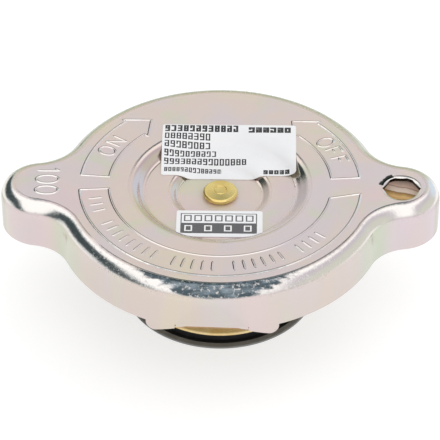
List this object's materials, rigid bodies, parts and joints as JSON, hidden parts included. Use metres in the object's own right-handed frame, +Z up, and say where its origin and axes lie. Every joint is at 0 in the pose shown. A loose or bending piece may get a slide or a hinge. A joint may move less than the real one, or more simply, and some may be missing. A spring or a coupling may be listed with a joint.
{
  "type": "radiator cap",
  "caption": "Two-eared pressed radiator cap with a dished top, bayonet tabs, and a sprung pressure valve with an inner vacuum valve below.",
  "frame": {"origin": "on the cap's axis, in the plane of the pressure seal's underside, on which the cap stands", "axes": "+X along the ears towards the ear with the hole, +Z up through the cover's top face"},
  "size_m": [0.1, 0.075, 0.0306],
  "materials": {
    "zinc_plate": "zinc-plated sheet steel with a faintly iridescent passivation, semi-bright",
    "brass": "bright brass",
    "label_paper": "white paper, matt",
    "rubber": "black rubber, smooth",
    "yellow_zinc": "yellow-passivated zinc plate",
    "bright_steel": "bright steel",
    "spring_wire": "drawn spring steel wire"
  },
  "bodies": {
    "cover": {"cover_shell": "zinc_plate", "centre_rivet": "brass", "wide_label": "label_paper", "small_label": "label_paper"},
    "bell": {"friction_washer": "bright_steel", "spring_disc": "yellow_zinc", "neck_gasket": "rubber", "bell_housing": "yellow_zinc", "rivet_washer": "bright_steel", "pressure_spring": "spring_wire"},
    "pressure_valve": {"valve_plate": "brass", "valve_collar": "brass", "pressure_seal": "rubber", "seal_retainer": "brass", "vacuum_seal": "rubber", "vacuum_spring": "spring_wire"},
    "vacuum_valve": {"vacuum_disc": "brass", "spring_cap": "bright_steel", "stem_clip": "bright_steel"}
  },
  "joints": [
    {"name": "bell_swivel", "type": "hinge", "parent": "cover", "child": "bell", "pos_m": [0, 0, 0.0252], "axis": [0, 0, 1], "continuous": true},
    {"name": "pressure_lift", "type": "slide", "parent": "bell", "child": "pressure_valve", "axis": [0, 0, 1], "range_m": [0, 0.0035], "stiffness_N_per_m": 6000, "deforming": ["pressure_spring"]},
    {"name": "vacuum_drop", "type": "slide", "parent": "pressure_valve", "child": "vacuum_valve", "axis": [0, 0, 1], "range_m": [-0.002, 0], "stiffness_N_per_m": 300, "deforming": ["vacuum_spring"]}
  ]
}
